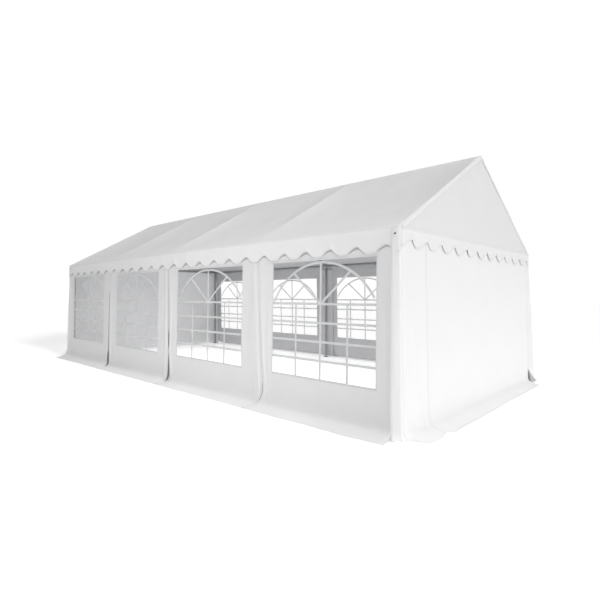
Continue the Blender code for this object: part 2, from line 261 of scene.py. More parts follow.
def plainMaterial(name, colour, roughness, metallic=0.0):
    # a small part's finish with a grain of 2 mm
    material, tree = newMaterial(name)
    place = addNode(tree, "TexCoord").outputs["Object"]
    grain = addNode(tree, "TexNoise", {"Scale": 1 / 0.002, "Detail": 3.0}, {"Vector": place})
    relief = addNode(tree, "Bump", {"Strength": 0.4, "Distance": 0.0003}, {"Height": grain})
    rough = addNode(tree, "MapRange", {"To Min": roughness - 0.06, "To Max": roughness + 0.06},
                    {"Value": grain})
    shader = addNode(tree, "BsdfPrincipled", {"Base Color": fromHex(colour), "Metallic": metallic},
                     {"Roughness": rough, "Normal": relief})
    addNode(tree, "OutputMaterial", links={"Surface": shader})
    return material


# one white tarpaulin in copies of slightly different tone: the end walls' copy is a little lighter than the
# side walls', painted light on the lit ends
sideCloth = clothMaterial("side_wall_tarpaulin", "#f5f5f6", "#eeeeef", 0.5, 0.0002, 0.010)
endCloth = clothMaterial("end_wall_tarpaulin", "#f8f8f8", "#f4f4f4", 0.5, 0.0002, 0.005)
coverCloth = clothMaterial("roof_cover_tarpaulin", "#f6f6f7", "#f0f0f1", 0.48, 0.0002, 0.012)
# the gable triangle's copy of the tarpaulin is darker than the end walls' copy: painted shade
shadedGableCloth = clothMaterial("gable_tarpaulin_painted_shade", "#efeff0", "#ebebec", 0.48, 0.0002, 0.005)
# the side walls' inner face is grey, not white like the end walls' inner face: painted shade
shadedSideInside = clothMaterial("side_wall_inner_face_painted_shade", "#c9c9ca", "#c0c0c2", 0.62, 0.0003, 0.010)
endInside = clothMaterial("end_wall_inner_face", "#f0f0f1", "#eaeaeb", 0.62, 0.0003, 0.010)
# the valances' copy of the tarpaulin is lighter than the roof cloth: painted light
litValanceCloth = clothMaterial("valance_tarpaulin_painted_light", "#fdfdfd", "#fafafa", 0.48, 0.0002, 0.008)
# the cover's inner face, seen under the valances, is grey: painted shade
shadedCoverInside = clothMaterial("cover_inner_face_painted_shade", "#c6c6c8", "#bebec0", 0.62, 0.0003, 0.012)
# grey for the turned hems and the corner tuck: painted shade
shadeGreyHem = clothMaterial("turned_hem_painted_shade", "#bcbdbf", "#b0b1b3", 0.6, 0.0003, 0.004)
# the joint flaps' outer face is dark grey: painted shade
shadeGreyFlap = clothMaterial("joint_flap_painted_shade", "#8f9092", "#838486", 0.65, 0.0003, 0.004)
clearFilm = filmMaterial()
barTape = tapeMaterial("welded_window_bar_tape", "#e4e5e5", False)
hemTape = tapeMaterial("sewn_hem_tape", "#f2f2f3", True)
zincSteel = steelMaterial()
blackRubber = plainMaterial("black_rubber_elastic", "#191919", 0.6)
nickelRing = plainMaterial("nickel_plated_eyelet", "#b9b7b2", 0.32, 0.95)
print("materials made")


# Sheets of cloth, made in mesh code from grids of points

outLeft, outFront = (-1, 0, 0), (0, -1, 0)    # the way that a sheet's outer face looks


def gridObject(name, points, uv, outward, materials, keep=None, thickness=tent["clothThickness"]):
    # points is (columns, rows, 3) on the outer face, uv the same grid in metres of cloth
    wide, tall = points.shape[0], points.shape[1]
    keep = np.ones((wide - 1, tall - 1), bool) if keep is None else keep
    i, j = np.nonzero(keep)
    index = np.arange(wide * tall).reshape(wide, tall)
    quads = np.stack([index[i, j], index[i + 1, j], index[i + 1, j + 1], index[i, j + 1]], axis=1)
    flat = points.reshape(-1, 3)
    diagonalA, diagonalB = flat[quads[:, 2]] - flat[quads[:, 0]], flat[quads[:, 3]] - flat[quads[:, 1]]
    facing = np.cross(diagonalA, diagonalB).sum(axis=0) @ np.array(outward, float)
    if facing < 0:
        quads = quads[:, ::-1]
    used, quads = np.unique(quads, return_inverse=True)
    quads = quads.reshape(-1, 4)
    mesh = bpy.data.meshes.new(name)
    mesh.from_pydata(flat[used].tolist(), [], quads.tolist())
    layer = mesh.uv_layers.new(name="cloth")
    layer.data.foreach_set("uv", uv.reshape(-1, 2)[used][quads.ravel()].astype(np.float32).ravel())
    for material in materials:
        mesh.materials.append(material)
    mesh.shade_smooth()
    piece = newObject(name, mesh)
    shell = piece.modifiers.new("thickness", "SOLIDIFY")
    shell.thickness = thickness
    shell.offset = -1
    shell.material_offset = len(materials) - 1
    makeActive(piece)
    bpy.ops.object.modifier_apply(modifier=shell.name)
    return piece


def turnedCopy(piece, name):
    # the same piece on the other side of the tent, half a turn round the middle
    other = piece.copy()
    other.data = piece.data.copy()
    other.name = name
    other.data.name = name
    bpy.context.scene.collection.objects.link(other)
    makeActive(other)
    other.rotation_euler.z = math.pi
    bpy.ops.object.transform_apply(location=True, rotation=True, scale=True)
    return other


def surfaceNormals(surface, u, v, sign):
    e = 0.002      # a small step on the surface
    across = surface(u + e, v) - surface(u - e, v)
    up = surface(u, v + e) - surface(u, v - e)
    normal = sign * np.cross(across, up)
    return normal / np.linalg.norm(normal, axis=-1, keepdims=True)


tape = {
    "thickness": 0.0008,
    "cell": 0.03,
    "inset": 0.012,        # from the cloth's edge to the middle of a hem
    "width": 0.022,
    "lift": 0.0006,
    "round": 0.0002,       # the middle stands this much higher than the edges
    "narrow": 0.018,       # width beside a window
    "past": 0.02,          # how far those run past the window's corners
}


def ribbonGrid(surface, sign, path, width, lift):
    # a flat tape laid along a path on a surface; path is (n, 2) in the surface's own metres
    path = np.asarray(path, float)
    way = np.gradient(path, axis=0)
    way /= np.linalg.norm(way, axis=1, keepdims=True)
    side = np.stack([-way[:, 1], way[:, 0]], axis=1)
    run = np.concatenate([[0], np.cumsum(np.linalg.norm(np.diff(path, axis=0), axis=1))])
    columns, uvs = [], []
    for share, extra in ((-0.5, 0.0), (-0.3, tape["round"]), (0.3, tape["round"]), (0.5, 0.0)):
        spot = path + side * width * share
        u, v = spot[:, 0], spot[:, 1]
        columns.append(surface(u, v) + surfaceNormals(surface, u, v, sign) * (lift + extra))
        uvs.append(np.stack([run, np.full(len(run), width * (share + 0.5))], axis=1))
    return np.stack(columns, axis=1), np.stack(uvs, axis=1)


def joinAll(pieces, name):
    deselectAll()
    for piece in pieces:
        piece.select_set(True)
    bpy.context.view_layer.objects.active = pieces[0]
    if len(pieces) > 1:
        bpy.ops.object.join()
    joined = bpy.context.view_layer.objects.active
    joined.name = name
    joined.data.name = name
    return joined


def ribbons(name, surface, sign, outward, tapes, material):
    # tapes is a list of (path, width, lift); all of them become one piece
    made = []
    for number, (path, width, lift) in enumerate(tapes):
        grid = ribbonGrid(surface, sign, path, width, lift)
        made.append(gridObject(f"{name}_{number}", *grid, outward, (material,),
                               thickness=tape["thickness"]))
    return joinAll(made, name)


def line(a, b):
    count = max(2, math.ceil(math.dist(a, b) / tape["cell"]) + 1)
    share = np.linspace(0, 1, count)[:, None]
    return np.array(a) * (1 - share) + np.array(b) * share


def repaintBelow(piece, material, height):
    # the outer faces below a height take another material
    piece.data.materials.append(material)
    for face in piece.data.polygons:
        if face.material_index == 0 and face.center.z < height:
            face.material_index = len(piece.data.materials) - 1


def settle(piece, replaced=None):
    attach(piece, "root")
    if replaced:
        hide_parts(replaced)


def uprightHem(place):
    # a hem along an upright edge
    return line((place, hang["top"] - 0.01), (place, hemV + 0.004)), tape["width"], tape["lift"]


def bottomHem(start, end):
    return line((start, hemV + tape["inset"]), (end, hemV + tape["inset"])), tape["width"], tape["lift"]


# How a wall hangs: v is the height down to the skirt's fold, and below it the cloth's own metres
hang = {
    "top": 1.985,
    "bowTop": 1.75,         # plumb down to here
    "fold": 0.21,           # the cloth starts to sweep out into the ground skirt
    "bow": 0.028,           # how far the wall leans out at the fold
    "hemHeight": 0.0022,
    "skirtLength": 0.36,
    "heightCurve": 1.15,
    "spreadCurve": 1.5,
    "straight": 0.55,
    # the straight drop: share of the skirt's length, height there, share of the spread
    "drop": ((0, 0.36, 0.46, 0.54, 0.62, 0.78, 1), (0.21, 0.088, 0.050, 0.029, 0.017, 0.008, 0.0022),
             (0, 0, 0.04, 0.12, 0.27, 0.60, 1)),
}
hemV = hang["fold"] - hang["skirtLength"]


def skirtShare(v):
    return growDown(v, hang["fold"], hang["skirtLength"])


def hangHeight(v, straight=0.0):
    share = skirtShare(v)
    swept = hang["hemHeight"] + (hang["fold"] - hang["hemHeight"]) * (1 - share) ** hang["heightCurve"]
    skirt = swept * (1 - straight) + np.interp(share, hang["drop"][0], hang["drop"][1]) * straight
    return np.where(v >= hang["fold"], v, skirt)


def hangOut(v, spread, bow=hang["bow"], straight=0.0):
    wall = growDown(v, hang["bowTop"], hang["bowTop"] - hang["fold"])
    share = skirtShare(v)
    late = np.interp(share, hang["drop"][0], hang["drop"][2])
    return bow * wall + (spread - bow) * (share ** hang["spreadCurve"] * (1 - straight) + late * straight)


def growDown(v, start=1.9, reach=0.9):
    return unit((start - v) / reach)


# Side walls

sideWall = {
    "spread": 0.25,
    "frontSpread": 0.216,    # at the front corner
    "cell": 0.024,
    "jointCell": 0.008,      # finer between the windows
    "windowMargin": 0.28,
    "windowSill": 0.437,
    "windowTop": 1.73,
    "edgeStrip": 0.26,
    "frontLap": 0.0746,      # the first panel's edge lies behind the corner strip
    "rearLap": 0.07,         # the last panel's edge, wrapped on to the rear end
    "rearTuck": 0.055,       # and then hidden behind the end wall
    "tuckDepth": 0.012,
    "cornerSpread": 0.05,
    "cornerBulge": 0.036,    # the rear corner stands off its leg
    "bunch": 0.011,          # height of the upright roll on both sides of a joint
    "lapEdge": 2.105,
    "lapStep": 0.009,
    "folds": 11,             # small upright folds beside each joint
    # their width, height, lean, and the two heights between which they show
    "foldLimits": ((0.010, 0.020), (0.002, 0.0052), (-0.03, 0.03), (-0.2, 0.5), (1.0, 2.0)),
    # one at the rear corner, and the first panel's swelling towards the corner strip
    "moreFolds": ((7.93, 0.018, 0.010, 0.02, -0.3, 1.9), (0.105, 0.085, 0.009, 0.0, -0.3, 1.95)),
    "straighter": (0, 0, 0.30, 0.25, 0),     # how much straighter the skirt drops beside each joint
    # the first two panels hang a little towards the front: places along the side, and by how much
    "pulled": ((0.10, 0.28, 1.72, 2.28, 3.72), (0.0, -0.018, -0.045, -0.046, 0.0)),
}
# two neighbouring panels part: heights, half the gap there, and how far the gap wanders towards the rear
slits = (
    {"z": (0.0, 0.04, 0.20, 0.27, 0.32, 1.7, 1.9), "half": (0.0, 0.004, 0.004, 0.003, 0.0004, 0.0004, 0.0),
     "shiftZ": (0.0, 0.3, 0.9, 1.6, 1.95), "shift": (-0.12, -0.125, -0.07, -0.03, 0.0)},
    {"z": (0.02, 0.04, 0.10, 0.25, 0.40, 0.46, 0.52, 0.60, 0.75, 0.84, 1.9),
     "half": (0.0, 0.024, 0.029, 0.021, 0.009, 0.0012, 0.0012, 0.011, 0.014, 0.003, 0.0006),
     "shiftZ": (0.0, 1.0, 1.9), "shift": (-0.055, -0.04, 0.0)},
    {"z": (0.015, 0.035, 0.12, 0.25, 0.31, 0.40, 1.35, 1.5, 1.9),
     "half": (0.0, 0.034, 0.040, 0.030, 0.012, 0.009, 0.007, 0.001, 0.0006),
     "shiftZ": (0.0, 1.0, 1.9), "shift": (0.05, 0.04, 0.0)},
)


def uprightFolds():
    # place along the side, then what the fold limits list
    random = np.random.default_rng(17)
    folds = []
    for joint in range(tent["bays"] + 1):
        for _ in range(sideWall["folds"]):
            offset = random.uniform(-0.23, 0.23)
            rest = [random.uniform(*limits) for limits in sideWall["foldLimits"]]
            folds.append((joint * bayLength + offset, *rest))
    return folds + list(sideWall["moreFolds"])


sideFolds = uprightFolds()


def sideRipple(along, v):
    number, away = nearestJoint(along)
    joint, down = np.abs(away), growDown(v)
    beside = hump(joint, 0.15)
    out = 0.0045 * softNoise(along, v * 0.6, 0.42, 11) * down * (1 - 0.7 * beside)
    out = out + 0.0012 * softNoise(along, v * 0.7, 0.11, 12) * down
    inner = (along > 1) & (along < 7)
    wander = 0.012 * softNoise(number * 3.1, v, 0.5, 13)
    skirt = skirtShare(v)
    bunch = np.where(along < 1.5 * bayLength, 0.4, 1.0) * sideWall["bunch"] * (1 - skirt) ** 2
    out = out + bunch * hump(joint + wander - 0.068, 0.036) * (0.3 + 0.7 * down) * inner
    # the first panel laps over the second one and ends in a step
    lap = unit((along - 1.80) / (sideWall["lapEdge"] - 1.80)) ** 1.5
    lap = lap * (1 - unit((along - sideWall["lapEdge"]) / 0.006))
    out = out + sideWall["lapStep"] * lap * growDown(v, 1.97, 0.4) * (1 - skirt)
    for place, width, height, lean, low, high in sideFolds:
        near = np.abs(along - place) < 0.2
        shown = unit((v - low) / 0.2) * growDown(v, high, 0.3)
        centre = place + lean * (1.0 - v)
        out = out + np.where(near, height * hump(along - centre, width) * shown * (1 - 0.7 * skirt), 0)
    out = out + 0.010 * softNoise(along, v * 0, 0.3, 14) * skirt
    return np.maximum(out + 0.004 * softNoise(along, v, 0.09, 15) * skirt, -0.003)


def slitPlace(nearest, z):
    # half the gap and its wandering at each joint
    half, shift = np.zeros(z.shape), np.zeros(z.shape)
    for number, slit in enumerate(slits):
        here = nearest == number + 1
        half = np.where(here, np.interp(z, slit["z"], slit["half"]), half)
        shift = np.where(here, np.interp(z, slit["shiftZ"], slit["shift"]), shift)
    return half, shift


def straightDrop(along):
    # how far the skirt hangs straight down before it lies on the ground, most beside two of the joints
    nearest, away = nearestJoint(along)
    more = np.interp(nearest, (0, 1, 2, 3, 4), sideWall["straighter"])
    return hang["straight"] + more * hump(away, 0.14)


def sideOut(along, v):
    corner = unit(1 - (along - sideWall["frontLap"]) / 0.3)
    spread = sideWall["spread"] - (sideWall["spread"] - sideWall["frontSpread"]) * corner
    return hangOut(v, spread, straight=straightDrop(along)) + sideRipple(along, v)


def sideSurface(along, v):
    # a point of the left side's outer face, along metres from the tent's front
    along, v = asGrids(along, v)
    nearest, away = nearestJoint(along)
    straight = straightDrop(along)
    z = hangHeight(v, straight)
    edge = unit(1 - np.abs(away) / sideWall["edgeStrip"])
    half, wander = slitPlace(nearest, z)
    flat = 1 - skirtShare(v) ** 2
    shift = (np.sign(away) * half * edge ** 1.5 + wander * edge) * flat
    inner = (nearest > 0) & (nearest < tent["bays"])
    tuck = np.where(nearest == 1, 0.002, 0.007) * hump(away, 0.010) * inner * growDown(v, 1.3, 0.5)
    upright = growDown(v, 1.9, 0.3) * (1 - skirtShare(v))
    tuck = tuck + (0.014 * hump(along - 7.885, 0.010) + 0.005 * hump(along - 0.124, 0.011)) * upright
    x = -tent["wallX"] - sideOut(along, v) + tuck
    y = along - tent["halfLength"] + shift - 0.023 * skirtShare(v) * unit(1 - along / 0.3)
    y = y + np.interp(along, *sideWall["pulled"]) * growDown(v, hang["top"], 0.2)
    # past the rear corner the cloth turns on to the rear end, and its last part is tucked behind the wall
    past = np.clip(along - rearCorner, 0, None)
    lap = unit(1 - past / sideWall["rearLap"])
    rearOut = hangOut(v, sideWall["cornerSpread"], straight=straight) + 0.3 * sideRipple(along, v) * lap
    rearOut = rearOut + sideWall["cornerBulge"] * growDown(v, 1.85, 1.6) ** 0.6 * lap
    tucked = unit((past - sideWall["rearLap"] + 0.006) / 0.02)
    rearOut = rearOut - tucked * (0.003 + sideWall["tuckDepth"] * growDown(v, 1.9, 0.3))
    x = np.where(past > 0, -tent["wallX"] + past - sideOut(along, v) * lap, x)
    y = np.where(past > 0, tent["wallY"] + rearOut, y)
    bend = unit((along - 7.86) / 0.1357) * (past <= 0)
    return stacked(x, y + rearOut * bend, z)


def windowRange(bay):
    start = bay * bayLength
    return start + sideWall["windowMargin"], start + bayLength - sideWall["windowMargin"]


def panelEnds(bay):
    start, end = bay * bayLength + tent["seam"], (bay + 1) * bayLength - tent["seam"]
    if bay == 0:
        start = sideWall["frontLap"]
    if bay == tent["bays"] - 1:
        end = rearCorner + sideWall["rearLap"] + sideWall["rearTuck"]
    return start, end


def wallColumns(bay):
    start, end = panelEnds(bay)
    left, right = windowRange(bay)
    last = [right, rearCorner, end] if bay == tent["bays"] - 1 else [right, end]
    fine = sideWall["jointCell"]
    return stepsBySize(([start, left], fine), ([left, right], sideWall["cell"]), (last, fine))


def wallSheet(bay):
    left, right = windowRange(bay)
    columns = wallColumns(bay)
    rows = steps([hang["top"], sideWall["windowTop"], sideWall["windowSill"], hang["fold"], hemV],
                 sideWall["cell"])
    along, v = crossed(columns, rows)
    middleColumn = (columns[:-1] + columns[1:]) / 2
    middleRow = (rows[:-1] + rows[1:]) / 2
    hole = ((middleColumn > left) & (middleColumn < right))[:, None] & (
        (middleRow > sideWall["windowSill"]) & (middleRow < sideWall["windowTop"]))[None, :]
    return gridObject(f"wall_cloth_left_{bay + 1}", sideSurface(along, v), stacked(along, v), outLeft,
                      (sideCloth, shadedSideInside), keep=~hole)


film = {
    "overlap": 0.012,      # tucked behind the cloth round the opening
    "behind": 0.0021,
    "cell": 0.036,
    "thickness": 0.0005,
    "flat": (1.464, 1.317),
}


def filmSheet(bay):
    left, right = windowRange(bay)
    columns = steps([left - film["overlap"], right + film["overlap"]], film["cell"])
    rows = steps([sideWall["windowTop"] + film["overlap"], sideWall["windowSill"] - film["overlap"]],
                 film["cell"])
    along, v = crossed(columns, rows)
    points = sideSurface(along, v) - surfaceNormals(sideSurface, along, v, -1) * film["behind"]
    return gridObject(f"window_film_left_{bay + 1}", points, stacked(along, v), outLeft, (clearFilm,),
                      thickness=film["thickness"])


bars = {
    "width": 0.026,
    "uprights": (-0.36, 0.0, 0.36),                    # from the window's middle
    "crossings": (0.642, 0.8465, 1.051, 1.256),        # heights of the level bars
    "springing": 1.256,
    "aside": -0.016,                                   # the pattern sits off the middle of the opening
    "archHalf": 0.72,
    "archRise": 0.45,
    "rayReach": (0.40, 0.344),                         # end of a ray from the springing's middle
    "border": 0.020,
    "onFilm": -0.0012,
    "layer": 0.0003,
}


def windowBars(bay):
    left, right = windowRange(bay)
    middle = (left + right) / 2 + bars["aside"]
    sill, top, spring = sideWall["windowSill"], sideWall["windowTop"], bars["springing"]
    radius = (bars["archHalf"] ** 2 + bars["archRise"] ** 2) / (2 * bars["archRise"])
    centre = spring + bars["archRise"] - radius
    half = math.asin(bars["archHalf"] / radius)
    angles = np.linspace(-half, half, 48)
    arch = np.stack([middle + radius * np.sin(angles), centre + radius * np.cos(angles)], axis=1)
    arch = arch[(arch[:, 0] > left + 0.004) & (arch[:, 0] < right - 0.004)]
    level, upright, curved = (bars["onFilm"] + bars["layer"] * k for k in range(3))
    tapes = [(line((left, z), (right, z)), bars["width"], level) for z in bars["crossings"]]
    for u in bars["uprights"]:
        high = spring + bars["archRise"] if u == 0 else spring
        tapes.append((line((middle + u, sill), (middle + u, high)), bars["width"], upright))
    tapes.append((arch, bars["width"], curved))
    for side in (-1, 1):
        end = (middle + side * bars["rayReach"][0], spring + bars["rayReach"][1])
        tapes.append((line((middle, spring), end), bars["width"], curved))
    tapes.append((line((left, sill), (right, sill)), bars["border"], tape["lift"]))
    tapes.append((line((right, sill), (right, top)), bars["border"] * 0.6, tape["lift"] + bars["layer"]))
    return ribbons(f"window_bars_left_{bay + 1}", sideSurface, -1, outLeft, tapes, barTape)


def wallHems(bay):
    start, end = panelEnds(bay)
    inset, lift = tape["inset"], tape["lift"]
    tapes = [bottomHem(start + 2 * inset, end - 2 * inset)]
    if bay > 0:
        tapes.append(uprightHem(start + inset))
    if bay < tent["bays"] - 1:
        tapes.append(uprightHem(end - inset))
    left, right = windowRange(bay)
    top, sill, narrow = sideWall["windowTop"], sideWall["windowSill"], tape["narrow"]
    half, past = narrow / 2, tape["past"]
    tapes.append((line((left - past, top + half), (right + past, top + half)), narrow, lift))
    tapes.append((line((left - half, sill - past), (left - half, top)), narrow, lift))
    return ribbons(f"wall_hems_left_{bay + 1}", sideSurface, -1, outLeft, tapes, hemTape)


# A flap behind each joint closes the gap between two panels; its outer face is painted shade grey, so the
# gap looks dark

flap = {
    "front": 0.23,         # how far it reaches past the joint
    "rear": 0.17,
    "top": 1.93,
    "behind": 0.0036,
    "low": -0.13,
    "cell": 0.03,
}


def buildFlaps():
    for joint in range(1, tent["bays"]):
        heights = steps([flap["top"], hang["fold"], flap["low"]], flap["cell"])
        offsets = steps([-flap["front"], flap["rear"]], flap["cell"])
        offset, v = crossed(offsets, heights)
        along = joint * bayLength + offset
        straight = straightDrop(along)
        x = -tent["wallX"] + flap["behind"] - 0.7 * hangOut(v, sideWall["spread"], straight=straight)
        points = stacked(x, along - tent["halfLength"], hangHeight(v, straight))
        piece = gridObject(f"joint_flap_left_{joint}", points, stacked(offset, v), outLeft,
                           (shadeGreyFlap, shadedSideInside), thickness=tape["thickness"])
        other = turnedCopy(piece, f"joint_flap_right_{tent['bays'] - joint}")
        for sheet, side, bay in ((piece, "left", joint), (other, "right", tent["bays"] - joint + 1)):
            settle(sheet)


def buildSideWalls():
    kinds = ("wall_cloth", "window_film", "window_bars", "wall_hems")
    for bay in range(tent["bays"]):
        made = [wallSheet(bay), filmSheet(bay), windowBars(bay), wallHems(bay)]
        across = tent["bays"] - bay
        turned = [turnedCopy(piece, f"{kind}_right_{across}") for piece, kind in zip(made, kinds)]
        for side, number, pieces in (("left", bay + 1, made), ("right", across, turned)):
            cloth, clear, grid, hems = pieces
            settle(cloth, f"wall_{side}_{number}")
            settle(clear, f"window_{side}_{number}")
            settle(grid)
            settle(hems)


buildSideWalls()
buildFlaps()
print("side walls hung")


# Scalloped valances, on the cover's sides and on the gables

valance = {
    "pitch": 1 / 3,
    "depth": 0.080,
    "sideBottom": 1.75,
    "endBottom": 1.80,
    "width": 0.048,          # half the width of the pleat at a cusp
    # seed, how far the cloth stands out and is drawn sideways at a cusp, and its swing between cusps
    "sidePleats": (31, 0.008, 0.022, 0.006),
    "endPleats": (51, 0.006, 0.034, 0.004),
    "curl": 0.029,           # the underside of the turned hem shows this far at a side cusp
    "endCurl": 0.0085,
    "hem": (0.016, 0.0005),  # the hem tape's width and lift
    "endStrengths": (1.0, 1.0, 1.0, 0.55, 0.5, 0.6, 0.5, 0.4, 0.45, 0.4, 0.5, 0.9),
}
cuspSteps = (0.0, 0.038, 0.074, 0.105, 0.129, 0.146, 0.157, 1 / 6)      # closer together towards a cusp


def scallop(along, bottom):
    lift = (0.5 - 0.5 * np.cos(2 * math.pi * along / valance["pitch"])) ** 1.5
    return bottom + valance["depth"] * lift


def cuspColumns(length):
    places = []
    for k in range(round(length / valance["pitch"])):
        places += [k * valance["pitch"] + step for step in cuspSteps]
        places += [(k + 1) * valance["pitch"] - step for step in reversed(cuspSteps[1:-1])]
    return np.array(places + [length])


def nearestCusp(along):
    # number of the nearest cusp, and the distance past it
    phase = along / valance["pitch"] - 0.5
    number = np.round(phase).astype(int)
    return number, (phase - number) * valance["pitch"]


def pleats(along, drop, seed, out, drag, swing):
    # how far the valance stands out and is drawn sideways, at a share of its drop
    number, near = nearestCusp(along)
    strength = np.random.default_rng(seed).uniform(0.6, 1.1, 64)[number % 64]
    gather = strength * hump(near, valance["width"])
    lobe = 0.5 + 0.5 * np.cos(2 * math.pi * along / valance["pitch"])
    stand = out * gather * drop ** 1.2 + swing * lobe * drop ** 2
    stand = stand + 0.004 * softNoise(along, drop * 0.3, 0.12, seed + 1) * drop + 0.003 * drop
    return np.maximum(stand, 0), drag * gather * drop ** 1.4


def hemPath(columns):
    # up to 10 mm above the scalloped edge, and 4 mm short of its ends
    path = stacked(columns, 0.010)
    path[0, 0], path[-1, 0] = path[0, 0] + 0.004, path[-1, 0] - 0.004
    return path


def curlStrip(name, along, edge, widths, axis, lean, outward):
    # a hem that is turned out below the cloth's edge, its underside painted shade grey; axis is the way
    # that it leans
    drops = widths[:, None] * np.linspace(0, 1, 3)[None, :]
    places = [np.broadcast_to(edge[:, None, k], drops.shape) for k in range(3)]
    places[axis] = places[axis] + 0.0016 + lean * drops
    places[2] = places[2] - drops
    shown = widths > 0.001
    keep = np.repeat((shown[:-1] & shown[1:])[:, None], 2, axis=1)
    return gridObject(name, stacked(*places), stacked(along[:, None], drops), outward, (shadeGreyHem,),
                      keep=keep, thickness=0.001)


# Roof cover

cover = {
    "slopeRows": 42,
    "valanceRows": 13,
    "eavesRound": 0.022,
    "ridgeRound": 0.034,
    "sag": 0.050,
    "wrinkle": 0.005,
    "rakeHem": 0.036,        # the ends are turned down over the gables by this much
    "meanDrop": 0.222,       # of the valance
}


def coverProfile():
    # the cross-section from the left hem to the right: x, z, share up the slope, share of the drop
    rise = math.atan(slope)
    e, r = cover["eavesRound"], cover["ridgeRound"]
    eavesTangent = e * math.tan((math.pi / 2 - rise) / 2)
    ridgeTangent = r * math.tan(rise)
    w, ridge = tent["halfWidth"], tent["ridge"]
    rows = []
    for k in range(cover["valanceRows"] + 1):
        drop = 1 - k / cover["valanceRows"]
        rows.append((-w, tent["eaves"] - eavesTangent, 0.0, drop))
    centre = (-w + e, tent["eaves"] - eavesTangent)
    for k in range(1, 4):
        angle = math.pi - (math.pi / 2 - rise) * k / 4
        rows.append((centre[0] + e * math.cos(angle), centre[1] + e * math.sin(angle), 0.0, 0.0))
    start, end = eavesTangent / slopeLength, 1 - ridgeTangent / slopeLength
    for k in range(cover["slopeRows"] + 1):
        share = start + (end - start) * k / cover["slopeRows"]
        rows.append((-w * (1 - share), tent["eaves"] + (ridge - tent["eaves"]) * share, share, 0.0))
    middle = ridge - r / math.cos(rise)
    for k in range(1, 4):
        angle = math.pi / 2 + rise * (1 - k / 3)
        rows.append((r * math.cos(angle), middle + r * math.sin(angle), 1.0, 0.0))
    return rows + [(-x, z, share, drop) for x, z, share, drop in reversed(rows[:-1])]


def roofSag(along, share):
    # taut over the rafters, flat across the middle of a bay, deepest just above the middle of the slope
    place = (along / bayLength) % 1
    across = 1 - np.abs(2 * place - 1) ** 3.2
    return cover["sag"] * across * np.maximum(np.sin(math.pi * unit(share) ** 1.3), 0) ** 0.7


def coverSheet():
    profile = np.array(coverProfile())
    along = cuspColumns(wholeLength)[:, None]
    x, z, share, drop = (profile[None, :, k] for k in range(4))
    side = np.sign(x) + (x == 0)
    lowest = scallop(along, valance["sideBottom"])
    z = np.where(drop > 0, z - drop * (z - lowest), z)
    out, drag = pleats(np.where(side < 0, along, wholeLength - along), drop, *valance["sidePleats"])
    joint = np.abs(nearestJoint(along)[1])
    free = unit(share * (1 - share) * 6)
    streaks = softNoise(along, share * slopeLength * side, 0.10, 21) * 0.6
    broad = softNoise(along, share * slopeLength * side * 0.6, 0.34, 22)
    wrinkles = cover["wrinkle"] * free * (streaks * 0.35 + broad) * unit(joint / 0.15)
    bead = 0.003 * hump(joint, 0.026) * unit(share * 12) * (along > 0.3) * (along < 7.7)
    height = z - roofSag(along, share) * (drop == 0) + wrinkles + bead
    place = along - tent["halfLength"] + side * drag
    lengths = np.concatenate([[0], np.cumsum(np.hypot(np.diff(profile[:, 0]), np.diff(profile[:, 1])))])
    run = lengths[None, :] - drop * 0.22 * np.sign(-x)
    piece = gridObject("roof_cover_cloth", stacked(x + side * out, place, height), stacked(along, run),
                       (0, 0, 1), (coverCloth, shadedCoverInside))
    # the valance below the eaves takes the lighter copy of the cloth: painted light
    repaintBelow(piece, litValanceCloth, tent["eaves"] - 0.012)
    trims = [coverHems(), coverCurls(), rakeHems()]
    settle(piece, "roof_cover")
    for trim in trims:
        settle(trim)
    carriers = [f"rafters_{k + 1}" for k in range(tent["bays"] + 1)]
    carriers += [f"ridge_tube_{k + 1}" for k in range(tent["bays"])]
    carriers += ["eaves_rail_left", "eaves_rail_right"]


def valanceSurface(along, v):
    # the left side's valance; v is the same share of its drop everywhere, in metres where it hangs lowest
    along, v = asGrids(along, v)
    drop = 1 - v / (tent["eaves"] - valance["sideBottom"])
    out, drag = pleats(along, drop, *valance["sidePleats"])
    top = tent["eaves"] - 0.013
    z = top - drop * (top - scallop(along, valance["sideBottom"]))
    return stacked(-tent["halfWidth"] - out, along - tent["halfLength"] - drag, z)


def coverHems():
    path = hemPath(cuspColumns(wholeLength))
    left = ribbons("valance_tape_left", valanceSurface, -1, outLeft, [(path, *valance["hem"])], hemTape)
    return joinAll([left, turnedCopy(left, "valance_tape_right")], "cover_valance_tapes")


def coverCurls():
    # at each cusp the hem turns out; its underside is painted shade grey
    along = np.arange(0.06, 7.94, 0.0075)
    number, near = nearestCusp(along)
    reach = np.where(near < 0, 0.130, 0.105)
    strength = np.random.default_rng(34).uniform(0.7, 1.1, 64)[number % 64]
    rear = np.interp(along, (0, 3, 5, 8), (1, 1, 1.35, 1.6))
    widths = valance["curl"] * strength * rear * unit(1 - (np.abs(near) / reach) ** 1.8)
    edge = valanceSurface(along, np.full(along.shape, 0.003))
    left = curlStrip("valance_curls_left", along, edge, widths, 0, 0.35, outLeft)
    return joinAll([left, turnedCopy(left, "valance_curls_right")], "cover_valance_curls")


